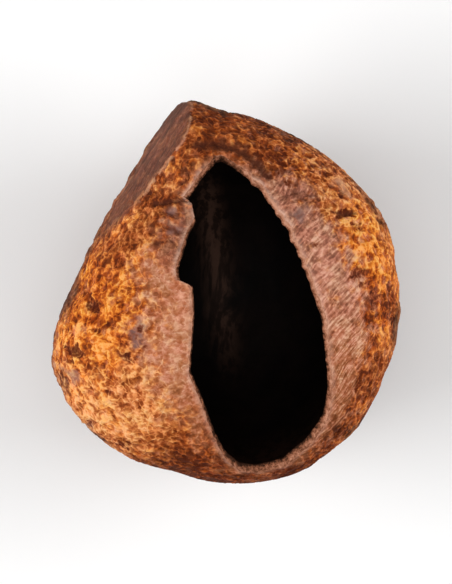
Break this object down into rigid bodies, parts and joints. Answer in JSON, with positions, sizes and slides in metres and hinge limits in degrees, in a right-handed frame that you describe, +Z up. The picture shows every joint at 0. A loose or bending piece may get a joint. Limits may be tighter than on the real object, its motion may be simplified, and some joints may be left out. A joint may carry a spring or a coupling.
{
  "type": "pangi seed shell",
  "caption": "Hollow woody shell of one pangi seed, emptied through a ragged almond-shaped mouth, lying on its back.",
  "frame": {"origin": "centre of the bounding box's bottom, at the level of the flat spot that the shell rests on", "axes": "+Z up out of the mouth, +Y along the mouth's long way towards its pointed upper end, +X across the mouth, away from the long flat side"},
  "size_m": [0.0479, 0.0525, 0.0403],
  "materials": {
    "woody_coat": "weathered woody seed coat, amber brown, half matt"
  },
  "bodies": {
    "root": {"shell": "woody_coat"}
  },
  "joints": []
}
